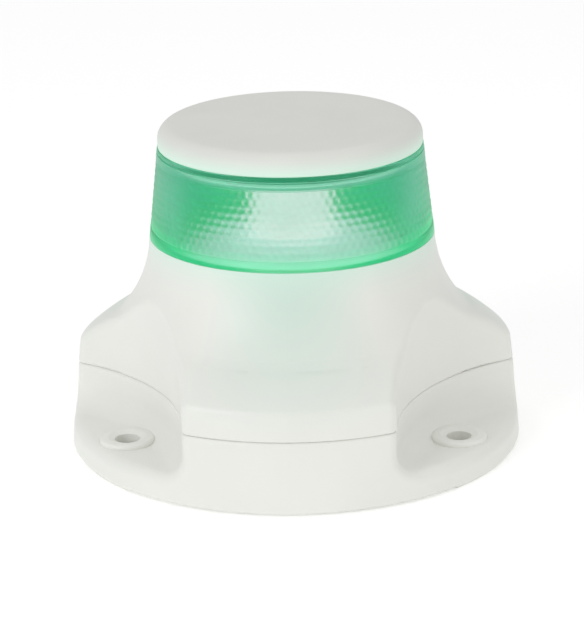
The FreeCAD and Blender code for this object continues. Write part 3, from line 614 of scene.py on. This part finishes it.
def make_floor():
    """A wide pale floor."""
    begin()
    bpy.ops.mesh.primitive_grid_add(x_subdivisions=4, y_subdivisions=4, size=6.0, location=(0.0, 0.0, 0.0))
    floor = fresh("floor")
    bpy.ops.object.mode_set(mode="OBJECT")
    finish = Finish("floor_board", Specular_IOR_Level=0.5, Roughness=0.12)
    colour = tuple(settings("light_colours").floor)
    cloud = finish.noise(0.4, 2.0)
    finish.set("Base Color", finish.blend(cloud, shade(colour, 0.995), colour))
    finish.set("Emission Color", as_colour((1.0, 1.0, 1.0)))
    finish.set("Emission Strength", 0.25)
    floor.data.materials.append(finish.material)


def make_camera():
    """Set the camera at its angle and distance."""
    stage = settings("light_stage")
    target = Vector((-0.32 * MM, 0.0, 20.76 * MM))
    begin()
    bpy.ops.object.camera_add()
    camera = bpy.context.object
    camera.name = "camera"
    camera.data.lens = stage.focal
    camera.data.clip_start = 0.01
    camera.data.clip_end = 20.0
    back = Vector((math.sin(stage.azimuth) * math.cos(stage.elevation),
                   -math.cos(stage.azimuth) * math.cos(stage.elevation), math.sin(stage.elevation)))
    turn = Matrix.Rotation(stage.azimuth, 3, "Z")
    tip = Matrix.Rotation(math.pi / 2 - stage.elevation, 3, "X")
    lean = Matrix.Rotation(stage.roll, 3, "Z")
    camera.rotation_euler = (turn @ tip @ lean).to_euler()
    camera.location = target + back * stage.distance
    bpy.context.scene.camera = camera


def softbox(name, place, size, power, aim=(0.0, 0.0, 0.025), colour=(1.0, 1.0, 1.0)):
    """Add a square soft light that looks at the object."""
    bpy.ops.object.light_add(type="AREA", location=place)
    lamp = bpy.context.object
    lamp.name = name
    lamp.data.name = name
    lamp.data.shape = "SQUARE"
    lamp.data.size = size
    lamp.data.energy = power
    lamp.data.color = colour
    lamp.rotation_euler = (Vector(aim) - Vector(place)).to_track_quat("-Z", "Y").to_euler()


def make_lights():
    """A key from the left front, a fill from the right, a soft top and an even surround."""
    softbox("key_light", (-0.70, -0.75, 0.45), 0.5, 3.2)
    softbox("fill_light", (0.75, -0.6, 0.35), 0.6, 1.3, colour=(1.0, 0.99, 0.94))
    softbox("top_light", (0.0, 0.1, 1.0), 0.8, 1.3)
    world = bpy.data.worlds.new("surround")
    world.use_nodes = True
    background = world.node_tree.nodes["Background"]
    background.inputs["Color"].default_value = (1.0, 1.0, 1.0, 1.0)
    background.inputs["Strength"].default_value = 0.64
    bpy.context.scene.world = world
    bpy.context.scene.view_settings.view_transform = "Standard"


# ---------------------------------------------------------------- operators and panel

class FinishOperator(bpy.types.Operator):
    """Give every CAD node its procedural finish."""
    bl_idname = "light.finish"
    bl_label = "Finishes"

    def execute(self, context):
        finish_all()
        return {"FINISHED"}


class LensOperator(bpy.types.Operator):
    """Model the beaded lens."""
    bl_idname = "light.lens"
    bl_label = "Lens"

    def execute(self, context):
        make_lens()
        return {"FINISHED"}


class CapOperator(bpy.types.Operator):
    """Model the cap."""
    bl_idname = "light.cap"
    bl_label = "Cap"

    def execute(self, context):
        make_cap()
        return {"FINISHED"}


class StageOperator(bpy.types.Operator):
    """Set the floor, the camera and the lights."""
    bl_idname = "light.stage"
    bl_label = "Stage"

    def execute(self, context):
        make_floor()
        make_camera()
        make_lights()
        return {"FINISHED"}


OPERATORS = (FinishOperator, LensOperator, CapOperator, StageOperator)
GROUPS = {"light_lens": LensSettings, "light_colours": ColourSettings, "light_stage": StageSettings}


class LightPanel(bpy.types.Panel):
    """Lists the settings and the steps."""
    bl_idname = "VIEW3D_PT_navigation_light"
    bl_label = "Navigation light"
    bl_space_type = "VIEW_3D"
    bl_region_type = "UI"
    bl_category = "Navigation light"

    def draw(self, context):
        for name, group in GROUPS.items():
            box = self.layout.box()
            for field in group.__annotations__:
                box.prop(getattr(context.scene, name), field)
        for operator in OPERATORS:
            self.layout.operator(operator.bl_idname)


def register():
    """Register the classes and hang the settings on the scene."""
    for group in GROUPS.values():
        bpy.utils.register_class(group)
    for name, group in GROUPS.items():
        setattr(bpy.types.Scene, name, bpy.props.PointerProperty(type=group))
    for operator in OPERATORS:
        bpy.utils.register_class(operator)
    bpy.utils.register_class(LightPanel)


def unregister():
    """Take the classes and the settings away again."""
    bpy.utils.unregister_class(LightPanel)
    for operator in reversed(OPERATORS):
        bpy.utils.unregister_class(operator)
    for name in GROUPS:
        delattr(bpy.types.Scene, name)
    for group in reversed(list(GROUPS.values())):
        bpy.utils.unregister_class(group)


def main():
    """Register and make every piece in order."""
    register()
    bpy.ops.light.finish()
    bpy.ops.light.lens()
    bpy.ops.light.cap()
    bpy.ops.light.stage()


if __name__ == "__main__":
    main()
